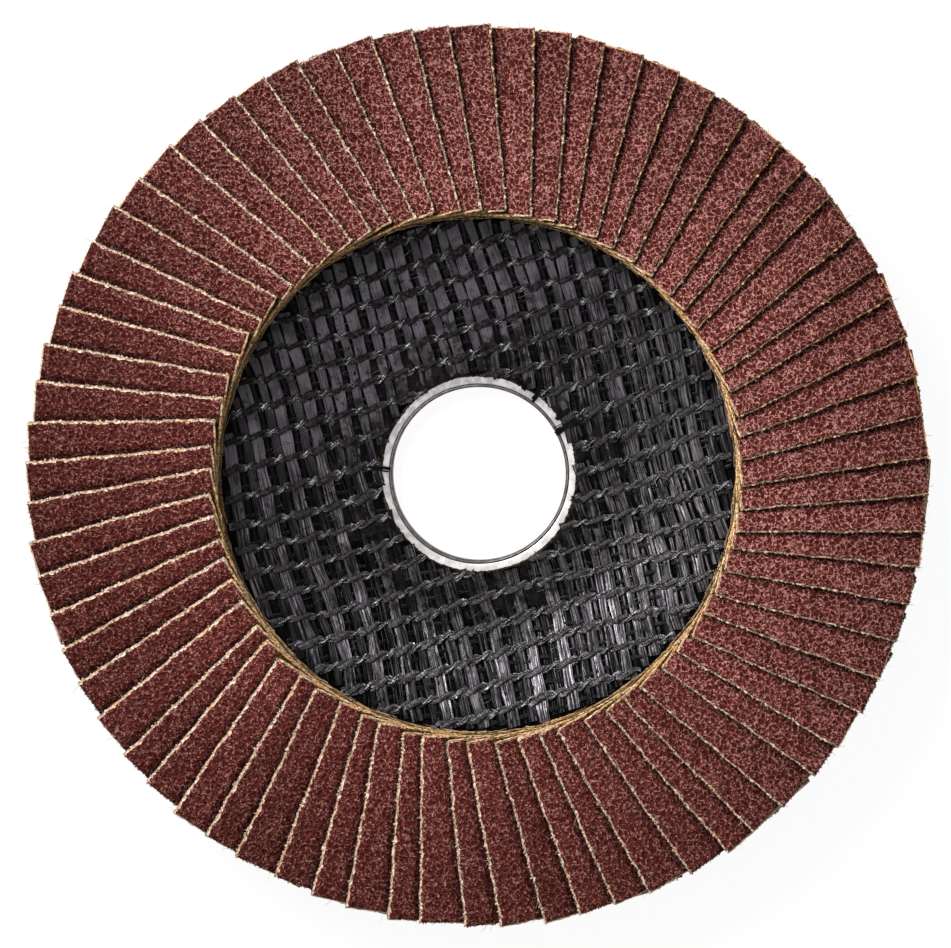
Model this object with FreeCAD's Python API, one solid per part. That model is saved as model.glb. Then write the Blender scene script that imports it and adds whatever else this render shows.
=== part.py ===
import FreeCAD, Part

import math
import os
import random

from FreeCAD import Vector

# A flap disc for an angle grinder, lying on its hub with the working side up. All sizes are in millimetres.
# The Z axis is the bore axis, and z = 0 is the back face of the hub.

# Arbor ring: a pressed metal eyelet that lines the bore
bore_radius = 11.115
ring_wall = 0.4
ring_bend_radius = 0.45
flange_showing = 0.9
flange_lap = 0.7

# Backing plate: a pressed glass-fibre dish with a flat hub, a conical wall and a flat annulus
plate_thickness = 2.8
hub_radius = 20.5
hub_depth = 4.2
annulus_ledge = 0.5
plate_radius = 54.0

# Glass mesh facing: flat ribbons with rows of twisted strands across them
weave_angle = 14.0
ribbon_spacing = 3.95
ribbon_width = 1.75
ribbon_height = 0.3
row_spacing = 3.42
row_width = 1.05
row_height = 0.6
mesh_edge_gap = 0.05
drape_facets = 28

# Flaps: rectangles of abrasive cloth, shingled round the annulus
flap_count = 72
flap_thickness = 0.9
flap_gap = 0.1
flap_width = 14.5
flap_length = 23.8
flap_overhang = 3.1
flap_slide = 0.5
flap_shift = 0.15
flap_yaw = 1.0
flap_seed = 7

# Adhesive bed that holds the flaps' lower edges
bed_thickness = 1.3
bed_inner_margin = 0.4
bed_rim_setback = 0.6
bed_under_flaps = 0.1

# Number of flaps kept together in one node
flaps_per_node = 2

up = Vector(0, 0, 1)
origin = Vector(0, 0, 0)

# Distances of the flaps' ends from the axis
flap_outer_reach = plate_radius + flap_overhang
flap_inner_reach = flap_outer_reach - flap_length

# Radii and levels that follow from the sizes above
ring_outer_radius = bore_radius + ring_wall
mesh_inner_radius = ring_outer_radius + flange_showing
flange_radius = mesh_inner_radius + flange_lap
bed_inner_radius = flap_inner_reach - bed_inner_margin
bed_outer_radius = plate_radius - bed_rim_setback
mesh_outer_radius = bed_inner_radius - mesh_edge_gap
shoulder_radius = bed_inner_radius - annulus_ledge
hub_front = plate_thickness
annulus_front = hub_front + hub_depth

# The flaps of one ring all have the same tilt, at which neighbours clear each other at their inner ends
half_width = flap_width / 2
half_pitch_angle = math.pi / flap_count
nearest_reach = flap_inner_reach - flap_shift - half_width * math.sin(math.radians(flap_yaw))
inner_pitch = 2 * nearest_reach * math.tan(half_pitch_angle)
flap_tilt = math.degrees(math.asin((flap_thickness + flap_gap) / inner_pitch))
tilt_sine = math.sin(math.radians(flap_tilt))
tilt_cosine = math.cos(math.radians(flap_tilt))

# Level of a flap's centre, so that the lowest corner of the most displaced flap stays clear of the plate
corner_drop = (flap_slide + flap_length / 2 * math.sin(math.radians(flap_yaw))) * tilt_sine
lowest_corner = annulus_front + bed_under_flaps + corner_drop
flap_centre_level = lowest_corner + half_width * tilt_sine + flap_thickness / 2 * tilt_cosine
flap_centre_reach = (flap_inner_reach + flap_outer_reach) / 2


def revolved(corners):
    """Solid of revolution about the Z axis of a closed profile of (radius, height) corners."""
    points = [Vector(radius, 0, height) for radius, height in corners]
    face = Part.Face(Part.makePolygon(points + [points[0]]))
    return face.revolve(origin, up, 360)


def ring_band(inner_radius, outer_radius, bottom, top):
    """Plain ring with a rectangular section."""
    return revolved([
        (inner_radius, bottom),
        (outer_radius, bottom),
        (outer_radius, top),
        (inner_radius, top),
    ])


def make_arbor_ring():
    """L-shaped eyelet: a tube through the bore, with an eased bend into the front flange."""
    bend = []
    for turn in (0, 45, 90):
        outwards = ring_bend_radius * (1 - math.cos(math.radians(turn)))
        upwards = ring_bend_radius * (1 - math.sin(math.radians(turn)))
        bend.append((bore_radius + outwards, hub_front - upwards))
    return revolved([
        (bore_radius, 0),
        (ring_outer_radius, 0),
        (ring_outer_radius, hub_front - ring_wall),
        (flange_radius, hub_front - ring_wall),
        (flange_radius, hub_front),
    ] + bend[::-1])


def make_backing_plate():
    """Pressed dish of even thickness, bored and counterbored for the arbor ring."""
    wall_slope = math.atan2(hub_depth, shoulder_radius - hub_radius)
    back_offset = plate_thickness * math.tan(wall_slope / 2)
    return revolved([
        (ring_outer_radius, 0),
        (hub_radius + back_offset, 0),
        (shoulder_radius + back_offset, hub_depth),
        (plate_radius, hub_depth),
        (plate_radius, annulus_front),
        (shoulder_radius, annulus_front),
        (hub_radius, hub_front),
        (flange_radius, hub_front),
        (flange_radius, hub_front - ring_wall),
        (ring_outer_radius, hub_front - ring_wall),
    ])


def polygon(radius, height):
    """Corners of a level regular polygon about the Z axis."""
    corners = []
    for number in range(drape_facets):
        turn = math.radians(weave_angle + number * 360 / drape_facets)
        corners.append(Vector(radius * math.cos(turn), radius * math.sin(turn), height))
    return corners


def draped_solid(lift):
    """Block whose top is the plate's front in flat facets, as a stiff cloth lies in it, raised by a lift."""
    rings = [
        polygon(hub_radius, hub_front + lift),
        polygon(shoulder_radius, annulus_front + lift),
        polygon(plate_radius, annulus_front + lift),
        polygon(plate_radius, 0),
    ]
    faces = [Part.Face(Part.makePolygon(ring + [ring[0]])) for ring in (rings[0], rings[-1])]
    for inner, outer in zip(rings, rings[1:]):
        for number in range(drape_facets):
            after = (number + 1) % drape_facets
            facet = [inner[number], inner[after], outer[after], outer[number], inner[number]]
            faces.append(Part.Face(Part.makePolygon(facet)))
    block = Part.makeSolid(Part.makeShell(faces))
    if block.Volume < 0:
        block.reverse()
    return block


def draped_layer(outer_radius, height):
    """Skin of a given height on the plate's front, from the mesh's inner edge out to a radius."""
    top = annulus_front + height + 1
    layer = draped_solid(height).cut(draped_solid(0))
    return layer.common(ring_band(mesh_inner_radius, outer_radius, 0, top))


def strips(spacing, width, direction):
    """Upright walls side by side across the mesh, which run along a direction in the XY plane."""
    reach = 2 * mesh_outer_radius
    height = annulus_front + row_height + 1
    count = int(mesh_outer_radius / spacing)
    walls = []
    for number in range(-count, count + 1):
        corner = Vector(-reach / 2, number * spacing - width / 2, 0)
        wall = Part.makeBox(reach, width, height, corner)
        wall.rotate(origin, up, direction)
        walls.append(wall)
    return Part.makeCompound(walls)


def make_glass_mesh():
    """Woven facing of flat ribbons and raised rows, open in the dish and closed by resin on the hub."""
    ribbons = draped_layer(mesh_outer_radius, ribbon_height)
    rows = draped_layer(mesh_outer_radius, row_height)
    ribbons = ribbons.common(strips(ribbon_spacing, ribbon_width, weave_angle + 90))
    rows = rows.common(strips(row_spacing, row_width, weave_angle))
    flat_radius = hub_radius * math.cos(math.pi / drape_facets)
    resin = ring_band(mesh_inner_radius, flat_radius, hub_front, hub_front + ribbon_height)
    return resin.fuse(ribbons.Solids + rows.Solids).removeSplitter()


def make_flap(number, slide, shift, yaw):
    """One flap: a flat slab turned, tilted and moved to its place, its free edge up on its clockwise side."""
    corner = Vector(-flap_length / 2, -half_width, -flap_thickness / 2)
    flap = Part.makeBox(flap_length, flap_width, flap_thickness, corner)
    flap.rotate(origin, up, yaw)
    flap.translate(Vector(shift, slide, 0))
    flap.rotate(origin, Vector(1, 0, 0), -flap_tilt)
    flap.translate(Vector(flap_centre_reach, 0, flap_centre_level))
    flap.rotate(origin, up, number * 360 / flap_count)
    return flap


def make_flaps():
    """All flaps, each slid, shifted and turned a little within its own plane as hand-fed cloth is."""
    chance = random.Random(flap_seed)
    flaps = []
    for number in range(flap_count):
        slide = chance.uniform(-flap_slide, flap_slide)
        shift = chance.uniform(-flap_shift, flap_shift)
        yaw = chance.uniform(-flap_yaw, flap_yaw)
        flaps.append(make_flap(number, slide, shift, yaw))
    return flaps


def make_adhesive_ring(flaps):
    """Resin bed with one slot for the lower edge of each flap."""
    bed = ring_band(bed_inner_radius, bed_outer_radius, annulus_front, annulus_front + bed_thickness)
    return bed.cut(flaps)


def export(shape, node):
    shape.exportStep("parts/" + node + ".step")


os.makedirs("parts", exist_ok=True)

all_flaps = make_flaps()
export(make_arbor_ring(), "arbor_ring")
export(make_backing_plate(), "backing_plate")
export(make_glass_mesh(), "glass_mesh")
export(make_adhesive_ring(all_flaps), "adhesive_ring")
for first in range(0, flap_count, flaps_per_node):
    pair = Part.makeCompound(all_flaps[first:first + flaps_per_node])
    export(pair, "flap_pair_%02d" % (first // flaps_per_node + 1))
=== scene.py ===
import math
import random

import bpy
import numpy as np
from mathutils import Matrix, Vector


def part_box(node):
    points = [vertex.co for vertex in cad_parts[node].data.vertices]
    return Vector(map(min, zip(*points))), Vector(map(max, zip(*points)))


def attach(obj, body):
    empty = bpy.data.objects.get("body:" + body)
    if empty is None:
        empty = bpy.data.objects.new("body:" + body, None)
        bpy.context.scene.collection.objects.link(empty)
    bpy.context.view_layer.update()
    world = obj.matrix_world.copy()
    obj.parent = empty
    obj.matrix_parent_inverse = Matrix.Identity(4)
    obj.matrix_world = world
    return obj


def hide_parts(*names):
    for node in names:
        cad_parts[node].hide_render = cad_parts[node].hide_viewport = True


# A flap disc for an angle grinder, lying on its hub with the working side up.
# Shapes are worked out in millimetres and scaled to metres as each mesh is made.

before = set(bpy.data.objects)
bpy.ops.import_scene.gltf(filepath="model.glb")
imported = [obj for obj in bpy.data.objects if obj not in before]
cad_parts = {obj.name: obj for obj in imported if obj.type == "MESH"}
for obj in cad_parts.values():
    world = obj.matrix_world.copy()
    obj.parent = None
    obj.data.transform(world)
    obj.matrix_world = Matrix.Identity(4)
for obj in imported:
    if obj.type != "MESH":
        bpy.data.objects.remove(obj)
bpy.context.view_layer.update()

metres = 0.001
full_turn = 2 * math.pi

# Camera and the photograph's frame
picture_width = 951
picture_height = 948
pixels_per_mm = 7.855
disc_centre_column = 476.4
disc_centre_row = 476.2
camera_distance = 1.2
camera_lean = math.radians(2.7)
camera_lean_direction = math.radians(42)
sensor_width = 36.0
rim_level = 0.0125

# Lamps and surroundings
key_distance = 0.55
key_size = 0.28
key_power = 3.1
key_lean = math.radians(42)
key_direction = math.radians(130)
fill_strength = 0.24
floor_size = 12.0
floor_glow = 0.94
floor_albedo = 0.12
bounce_albedo = 0.8

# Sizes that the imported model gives
plate_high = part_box("backing_plate")[1] / metres
ring_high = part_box("arbor_ring")[1] / metres
plate_radius = plate_high.x
annulus_front = plate_high.z
flange_radius = ring_high.x
hub_front = ring_high.z

# Arbor ring
bore_radius = 11.115
ring_wall = 0.4
lip_radius = 0.34
groove_width = 0.1
groove_depth = 0.16
ring_segments = 192
ring_seed = 15

# Plate
hub_radius = 20.5
shoulder_radius = 32.4
plate_thickness = 2.8
hub_depth = annulus_front - hub_front
bend_softness = 0.3
wall_slope = hub_depth / (shoulder_radius - hub_radius)
relief_depth = 0.14
edge_round = 75.4
plate_segments = 300
plate_seed = 5

# Glass mesh
weave_angle = math.radians(14)
ribbon_spacing = 3.95
ribbon_width = 1.66
under_width = 1.25
row_spacing = 3.42
ribbon_phase = 0.9
row_phase = 1.2
weave_inner_radius = 12.45
weave_outer_radius = 32.8
weave_reach = weave_outer_radius + 1
row_step = 0.28
row_seed = 13
twist_length = 2.3
under_row_step = 0.5
under_row_seed = 14
cell_draws = 100
first_window = 50
first_cell = 40
loose_fibres = 620
loose_seed = 61

# Strands over the ring: azimuth in degrees, inner and outer radius, spread, number of strands
crossing_strands = (
    (29, 11.0, 14.4, 0.9, 16),
    (35, 12.0, 14.2, 0.6, 8),
    (54, 11.5, 14.0, 0.5, 8),
    (62, 12.1, 14.0, 0.9, 9),
    (177, 11.4, 14.6, 0.4, 9),
    (186, 12.1, 14.2, 0.5, 6),
    (2, 12.2, 13.8, 0.5, 6),
    (345, 12.2, 13.8, 0.4, 5),
)
crossing_seed = 47

# Ochre fibres on the adhesive
bed_fibres = 300
bed_seed = 73

# Flaps, as the model's source has them
flap_count = 72
flaps_per_piece = 2
flap_thickness = 0.9
flap_gap = 0.1
flap_width = 14.5
flap_length = 23.8
flap_overhang = 3.1
flap_slide = 0.5
flap_shift = 0.15
flap_yaw = 1.0
flap_seed = 7
bed_under_flaps = 0.1

# Cloth and grain of a flap
cloth_seed = 1000
grain_step = 0.29
grain_columns = 19
grain_margin = 1.3
grain_base = 0.12
grain_pit = 0.17
cut_drop = 0.06
yarn_spacing = 0.4
edge_spacing = 0.36
end_yarns = ((0.03, 0.26), (0.05, 0.04), (0.03, -0.18), (0.0, -0.4))
# Tones of the yarn lines at a flap's inner end, top first: the lower ones painted darker as shade.
end_yarn_painted_shade = (1.2, 1.0, 0.5, 0.15)
strays_at_end = 2
strays_at_edge = 5
stray_tufts = {18: 5, 36: 8}
edge_light = math.radians(40)

# Places of the flaps' materials
grain, cut_cloth, ochre, cloth_back, cream = range(5)

flap_outer_reach = plate_radius + flap_overhang
flap_inner_reach = flap_outer_reach - flap_length
flap_centre_reach = (flap_inner_reach + flap_outer_reach) / 2
half_width = flap_width / 2
half_length = flap_length / 2
half_thickness = flap_thickness / 2
nearest_reach = flap_inner_reach - flap_shift - half_width * math.sin(math.radians(flap_yaw))
inner_pitch = 2 * nearest_reach * math.tan(math.pi / flap_count)
flap_tilt = math.asin((flap_thickness + flap_gap) / inner_pitch)
corner_drop = (flap_slide + half_length * math.sin(math.radians(flap_yaw))) * math.sin(flap_tilt)
flap_centre_level = (annulus_front + bed_under_flaps + corner_drop
                     + half_width * math.sin(flap_tilt) + half_thickness * math.cos(flap_tilt))
flap_centre = (flap_centre_reach, 0, flap_centre_level)


# Meshes

def stacked(*parts):
    """Points, or other rows of numbers, from parts that may be arrays or plain numbers."""
    return np.stack(np.broadcast_arrays(*parts), axis=-1)


def unit(vectors):
    return vectors / (np.linalg.norm(vectors, axis=-1, keepdims=True) + 1e-9)


def angles_round(count):
    return np.arange(count) * full_turn / count


class Shape:
    """Points and faces of one piece, gathered part by part in millimetres."""

    def __init__(self):
        self.points = []
        self.details = []
        self.corners = []
        self.sizes = []
        self.materials = []
        self.smooth = []
        self.count = 0

    def add_points(self, points, details):
        """Adds points, with three numbers each for the materials, and returns the first one's number."""
        first = self.count
        self.points.append(points.reshape(-1, 3))
        self.details.append(details.reshape(-1, 3))
        self.count += len(self.points[-1])
        return first

    def add_faces(self, faces, material=0, smooth=False):
        """Adds an array of faces that all have the same number of corners."""
        faces = faces.reshape(-1, faces.shape[-1])
        self.corners.append(faces.ravel())
        self.sizes.append(np.full(len(faces), faces.shape[1]))
        self.materials.append(np.full(len(faces), material))
        self.smooth.append(np.full(len(faces), smooth))

    def build(self, name, materials, slot, *stands_for):
        """Makes the object, which rides on the disc and stands for the named nodes of the model."""
        mesh = bpy.data.meshes.new(name)
        points = np.concatenate(self.points) * metres
        corners = np.concatenate(self.corners)
        sizes = np.concatenate(self.sizes)
        mesh.vertices.add(len(points))
        mesh.vertices.foreach_set("co", points.ravel())
        mesh.loops.add(len(corners))
        mesh.loops.foreach_set("vertex_index", corners)
        mesh.polygons.add(len(sizes))
        mesh.polygons.foreach_set("loop_start", np.cumsum(sizes) - sizes)
        for material in materials:
            mesh.materials.append(material)
        mesh.polygons.foreach_set("material_index", np.concatenate(self.materials))
        mesh.polygons.foreach_set("use_smooth", np.concatenate(self.smooth))
        detail = mesh.attributes.new("detail", "FLOAT_VECTOR", "POINT")
        detail.data.foreach_set("vector", np.concatenate(self.details).ravel())
        mesh.update(calc_edges=True)
        piece = bpy.data.objects.new(name, mesh)
        bpy.context.scene.collection.objects.link(piece)
        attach(piece, "root")
        if stands_for:
            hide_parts(*stands_for)


def grid_faces(rows, columns, wrap=False):
    """Quads of a grid numbered row by row, facing along row direction times column direction."""
    row = np.arange(rows - 1)[:, None] * columns
    here = np.arange(columns if wrap else columns - 1)
    after = (here + 1) % columns
    return stacked(row + here, row + columns + here, row + columns + after, row + after).reshape(-1, 4)


def turn_about(axis, angle):
    return np.array(Matrix.Rotation(angle, 3, axis))


def wave(values, chance, amplitude, lengths):
    """Sum of sines of random phase along a line, one for each wavelength."""
    total = np.zeros_like(values)
    for length in lengths:
        total += np.sin(full_turn * (values / length + chance.random()))
    return total * amplitude / len(lengths)


def field(x, y, chance, amplitude, length, count=6):
    """Smooth random field over the plan: plane waves in random directions."""
    total = np.zeros(np.broadcast(x, y).shape)
    for _ in range(count):
        direction = chance.random() * full_turn
        wavelength = length * (0.7 + 0.8 * chance.random())
        phase = chance.random() * full_turn
        along = x * math.cos(direction) + y * math.sin(direction)
        total += np.sin(full_turn * along / wavelength + phase)
    return total * amplitude / math.sqrt(count)


def add_closed(shape, points, details, material=0, smooth=False, order=1):
    """Closed bodies from rings of points (body, station, around, xyz). Order -1 turns their sides over."""
    count, stations, around, _ = points.shape
    first = shape.add_points(points, details)
    starts = first + np.arange(count)[:, None, None] * stations * around
    shape.add_faces(starts + grid_faces(stations, around, wrap=True)[:, ::order], material, smooth)
    cap = np.arange(around)
    shape.add_faces(starts[:, 0] + cap, material)
    shape.add_faces(starts[:, 0] + (stations - 1) * around + cap[::-1], material)


def add_tubes(shape, paths, radii, sides, tones, material=0, smooth=True):
    """Round tubes along many paths at once: paths is (tube, station, xyz), radii is (tube, station)."""
    along = unit(np.gradient(paths, axis=1))
    side = unit(np.cross(along, (0.31, 0.12, 0.94)))
    lift = np.cross(side, along)
    angles = angles_round(sides)
    ring = side[:, :, None] * np.cos(angles)[:, None] + lift[:, :, None] * np.sin(angles)[:, None]
    points = paths[:, :, None] + ring * radii[:, :, None, None]
    stations = np.arange(paths.shape[1])[:, None]
    details = stacked(stations * 0.2, angles * 0.2, tones.reshape(len(paths), -1, 1))
    add_closed(shape, points, details, material, smooth, -1)


# Materials

def fill(socket, value):
    """Links an output to a socket, or sets the socket's own value. Colours are given as three numbers."""
    if isinstance(value, Signal):
        socket.id_data.links.new(value.socket, socket)
    elif socket.type == "RGBA":
        socket.default_value = (*value, 1.0)
    else:
        socket.default_value = value


def signal(tree, kind, output, inputs=None, **settings):
    """Adds a shader node and gives one of its outputs."""
    made = tree.nodes.new("ShaderNode" + kind)
    for name, value in settings.items():
        setattr(made, name, value)
    for name, value in (inputs or {}).items():
        fill(made.inputs[name], value)
    return Signal(made.outputs[output])


def maths(operation, first, second):
    tree = next(value.socket.id_data for value in (first, second) if isinstance(value, Signal))
    return signal(tree, "Math", "Value", {0: first, 1: second}, operation=operation)


def blend(factor, first, second, way="MIX"):
    tree = next(value.socket.id_data for value in (factor, first, second) if isinstance(value, Signal))
    return signal(tree, "Mix", 2, {0: factor, 6: first, 7: second}, data_type="RGBA", blend_type=way)


class Signal:
    """Output of a shader node, to reckon with."""

    def __init__(self, socket):
        self.socket = socket
        self.tree = socket.id_data

    def __add__(self, other):
        return maths("ADD", self, other)

    def __sub__(self, other):
        return maths("SUBTRACT", self, other)

    def __rsub__(self, other):
        return maths("SUBTRACT", other, self)

    def __mul__(self, other):
        return maths("MULTIPLY", self, other)

    def __abs__(self):
        return maths("ABSOLUTE", self, 0.5)

    def larger(self, other):
        return maths("MAXIMUM", self, other)

    def ramp(self, low, high, to_low=0.0, to_high=1.0):
        """Value taken smoothly from one range to another and held at its ends."""
        inputs = {"Value": self, "From Min": low, "From Max": high, "To Min": to_low, "To Max": to_high}
        return signal(self.tree, "MapRange", "Result", inputs, interpolation_type="SMOOTHSTEP")

    def spread(self, to_low, to_high):
        """Value between nought and one taken smoothly to another range."""
        return self.ramp(0.0, 1.0, to_low, to_high)

    def parts(self, kind="XYZ"):
        """The three parts of a vector or a colour."""
        made = signal(self.tree, "Separate" + kind, 0, {0: self}).socket.node
        return [Signal(socket) for socket in made.outputs]

    def shaded(self, level, share=1.0):
        """A colour multiplied by a number."""
        grey = signal(self.tree, "CombineColor", 0, {"Red": level, "Green": level, "Blue": level})
        return blend(share, self, grey, "MULTIPLY")

    def bump(self, depth_mm, strength, under=None):
        inputs = {"Height": self, "Distance": depth_mm * metres, "Strength": strength}
        if under is not None:
            inputs["Normal"] = under
        return signal(self.tree, "Bump", "Normal", inputs)


class Look:
    """A material in the making, with patterns laid out by the place on the disc, in metres."""

    def __init__(self, name):
        self.material = bpy.data.materials.new(name)
        self.material.use_nodes = True
        self.tree = self.material.node_tree
        self.shader = self.tree.nodes["Principled BSDF"]
        self.spot = signal(self.tree, "TexCoord", "Object")

    def values(self):
        """The three numbers that each point of a mesh carries."""
        return signal(self.tree, "Attribute", "Vector", attribute_name="detail").parts()

    def vectors(self, operation, output, *parts):
        return signal(self.tree, "VectorMath", output, dict(enumerate(parts)), operation=operation)

    def texture(self, kind, output, size_mm, inputs, vector=None, **settings):
        inputs = {"Vector": vector or self.spot, "Scale": 1 / (size_mm * metres), **inputs}
        return signal(self.tree, "Tex" + kind, output, inputs, **settings)

    def noise(self, size_mm, detail=2.0, roughness=0.5, vector=None):
        return self.texture("Noise", "Fac", size_mm, {"Detail": detail, "Roughness": roughness}, vector)

    def wander(self, size_mm, reach_mm):
        """The place moved about at random, which bends the straight lines of a pattern."""
        shift = self.texture("Noise", "Color", size_mm, {"Detail": 1.0})
        return self.vectors("MULTIPLY_ADD", "Vector", shift, (reach_mm * metres,) * 3, self.spot)

    def stretched(self, x, y, z):
        return signal(self.tree, "CombineXYZ", "Vector", {"X": x, "Y": y, "Z": z})

    def radius(self):
        """Distance from the disc's axis in millimetres."""
        flat = self.vectors("MULTIPLY", "Vector", self.spot, (1, 1, 0))
        return self.vectors("LENGTH", "Value", flat) * (1 / metres)

    def towards(self, azimuth, low_mm, high_mm):
        """Nought to one across the disc, rising towards an azimuth in degrees."""
        turn = math.radians(azimuth)
        along = self.vectors("DOT_PRODUCT", "Value", self.spot, (math.cos(turn), math.sin(turn), 0))
        return along.ramp(low_mm * metres, high_mm * metres)

    def finish(self, colour, roughness, normal=None, metallic=0.0, specular=0.5, **others):
        """Sets the shader's inputs and gives the material."""
        inputs = {"Base Color": colour, "Roughness": roughness, "Metallic": metallic,
                  "Specular IOR Level": specular}
        if normal is not None:
            inputs["Normal"] = normal
        for name, value in others.items():
            inputs[name.replace("_", " ").title()] = value
        for name, value in inputs.items():
            fill(self.shader.inputs[name], value)
        return self.material


def grain_material():
    """Crinkled brown-red crystals in dark resin: painted shade in pits, painted pink highlights on crests.
    """
    look = Look("abrasive_grain")
    height, bare, tone = look.values()
    patches = look.noise(0.42, 2.0, 0.6)
    body = blend(patches.ramp(0.34, 0.68), (0.086, 0.0155, 0.0118), (0.176, 0.038, 0.031))
    # Rises towards the upper right, where the painted light and shade on the grain are set differently.
    right = look.towards(45, -36, 30)
    walls = look.texture("Voronoi", "Distance", 0.74, {}, look.wander(0.4, 0.75), feature="DISTANCE_TO_EDGE")
    # Painted light and shade: lighter at the crests, darker in the pits, the pits darker to the upper right.
    body = body.shaded(walls.ramp(0.0, 0.38, 1.15, right.spread(0.68, 0.46)))
    # Rare pale pink specks: crystals of a lighter colour, with a painted highlight on them.
    pale_and_glint_specks, red_ones, _ = look.texture("Voronoi", "Color", 0.3, {}).parts("Color")
    body = blend(pale_and_glint_specks.ramp(0.93, 0.97, 0.0, 0.45), body, (0.56, 0.32, 0.285))
    body = blend(red_ones.ramp(0.94, 0.98, 0.0, 0.5), body, (0.24, 0.045, 0.028))
    # Painted highlight: pinkish lines along the crests, more of them towards the upper right.
    kept = look.noise(0.28, 1.0) + right * 0.085
    line = walls.ramp(0.012, 0.088, 1.0, 0.0) * kept.ramp(0.49, 0.6)
    body = blend(line, body, (0.57, 0.27, 0.24))
    out = look.radius()
    # Painted shade in the grain's low points; the grain is also lighter towards the flaps' inner ends.
    shade = height.ramp(0.0, 0.7, 0.7, 1.15) * out.ramp(32.0, 58.0, 1.25, 0.88)
    # Painted shadow: each strip darkens towards the next flap's raised free edge, most to the lower left.
    painted_edge_shadow = bare.ramp(0.0, 1.1, right.spread(0.4, 0.85), 1.0)
    # The last factor is painted shade: a little darker towards the top.
    body = body.shaded(shade * (tone * painted_edge_shadow) * look.towards(110, -25, 50).spread(1.0, 0.88))
    fibres = blend(look.noise(0.3, 3.0).ramp(0.38, 0.6), (0.012, 0.005, 0.002), (0.16, 0.07, 0.025))
    at_end = bare.ramp(0.0, 0.2, 1.0, 0.0) * out.ramp(35.2, 35.8, 1.0, 0.0)
    crests = walls.ramp(0.0, 0.35, 1.0, 0.0).bump(0.16, 1.0, patches.bump(0.2, 0.8))
    normal = look.noise(0.2).bump(0.05, 0.5, crests)
    return look.finish(blend(at_end, body, fibres), 0.3, normal, specular=0.03)


def yarn_material(name, dark, light, tint):
    """Cut cotton yarn: pale ends with darker, resin-soaked roots; painted warmer shade to the upper right.
    """
    look = Look(name)
    tone = look.values()[2]
    body = blend(look.noise(0.35, 3.0, 0.6).ramp(0.34, 0.62), dark, light)
    body = blend(look.noise(1.6, 1.0).ramp(0.5, 0.68, 0.0, 0.7), body, tint)
    body = body.shaded(tone.ramp(0.0, 1.2, 0.1, 1.25))
    # Painted shade: darker and warmer towards the outer part of the upper right, which faces from the lamp.
    body = blend(look.towards(40, 24, 56), body, blend(1.0, body, (0.85, 0.62, 0.42), "MULTIPLY"))
    return look.finish(body, 0.8, look.noise(0.08).bump(0.05, 0.8), sheen_weight=0.1, sheen_roughness=0.5)


def cloth_back_material():
    """Resin-stiffened cotton twill under the flaps."""
    look = Look("cloth_back")
    body = blend(look.noise(2.4, 3.0, 0.6).ramp(0.35, 0.65), (0.32, 0.17, 0.085), (0.46, 0.28, 0.15))
    twill = look.texture("Wave", "Fac", 6.0 * 0.45, {"Distortion": 0.6, "Detail": 1.0},
                         bands_direction="DIAGONAL")
    normal = look.noise(0.3).bump(0.06, 0.6, twill.bump(0.12, 0.7))
    return look.finish(body.shaded(twill, 0.35), 0.75, normal)


def ribbon_material(name, brightness, gloss, reach_across, shade_off_lower_right=1.0, lower_left_painted_level=1.0):
    """Flat glass ribbons in black resin, striated along the fibres; painted light and shade vary by side."""
    def toned(*parts):
        return tuple(part * brightness for part in parts)

    look = Look(name)
    along, across, strand = look.values()
    fibres = look.stretched(along * 0.0002, across * 0.0045, strand * 0.01)
    streaks = look.noise(1.0, 3.0, 0.65, fibres)
    dull = look.noise(1.1, 3.0, 0.6)
    # Sides of the disc, between which the painted glints, streak shade and levels below differ.
    lower = look.towards(-45, -26, 26)
    upper_left_side = look.towards(120, 7, 19)
    between_sides = 1.0 - upper_left_side.larger(lower)
    split = between_sides * 0.1 + lower * 0.055
    # Painted shade: near-black streaks between the fibres, most between the sides, fewest on the upper left.
    streaked = (streaks - split).ramp(0.30, 0.48).larger(upper_left_side * 0.5)
    sheen = blend(lower.ramp(0.3, 0.9), toned(0.116, 0.103, 0.121), toned(0.115, 0.1075, 0.1165))
    body = blend(streaked, toned(0.0015, 0.0015, 0.0015), sheen)
    # Painted glints: bright streaks on the fibres, none on the upper left, brightest between the sides.
    glint = streaks.ramp(0.55, 0.66) * upper_left_side.ramp(0.0, 0.6, 0.85, 0.0)
    body = blend(glint, body, blend(between_sides, toned(0.26, 0.248, 0.263), toned(0.42, 0.40, 0.42)))
    out = look.radius()
    resin = dull + out.ramp(17.0, 23.0, 0.1, 0.0)
    body = blend(resin.ramp(0.58, 0.7, 0.0, 0.85), body, (0.014, 0.012, 0.011))
    # Painted shade along the ribbon's edges.
    border = abs(across).ramp(reach_across - 0.15, reach_across - 0.04, 1.0, 0.03)
    # Random level from window to window, and darker towards the flaps' inner wall.
    level = border * look.noise(2.6, 1.0).ramp(0.36, 0.6, 0.55, 1.1) * out.ramp(28.5, 32.0, 1.0, 0.5)
    # Painted light and shade by side: brighter to the right and lower right, darker to the left and between
    # the sides; lower copies darker away from the lower right; each copy has its own level to the lower
    # left.
    level = level * look.towards(0, -20, 30).spread(1.0, 1.24)
    level = level * lower.ramp(0.35, 0.8, shade_off_lower_right, 1.0)
    level = level * look.towards(235, 0, 16).spread(1.0, lower_left_painted_level)
    level = level * between_sides.spread(1.0, 0.76)
    level = level * look.towards(-45, 8, 30).spread(0.93, 1.5)
    level = level * look.towards(200, 4, 26).spread(1.0, 0.84)
    # Darker towards the hub.
    level = level * out.ramp(14.0, 21.0, 0.76, 1.0)
    rough = (dull + streaks * 0.4).ramp(0.5, 0.95, gloss, gloss + 0.2)
    normal = streaks.bump(0.06, 1.0, look.noise(3.2, 2.0, 0.5, fibres).bump(0.2, 1.0))
    return look.finish(body.shaded(level), rough, normal, metallic=0.6, specular=0.15)


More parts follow.
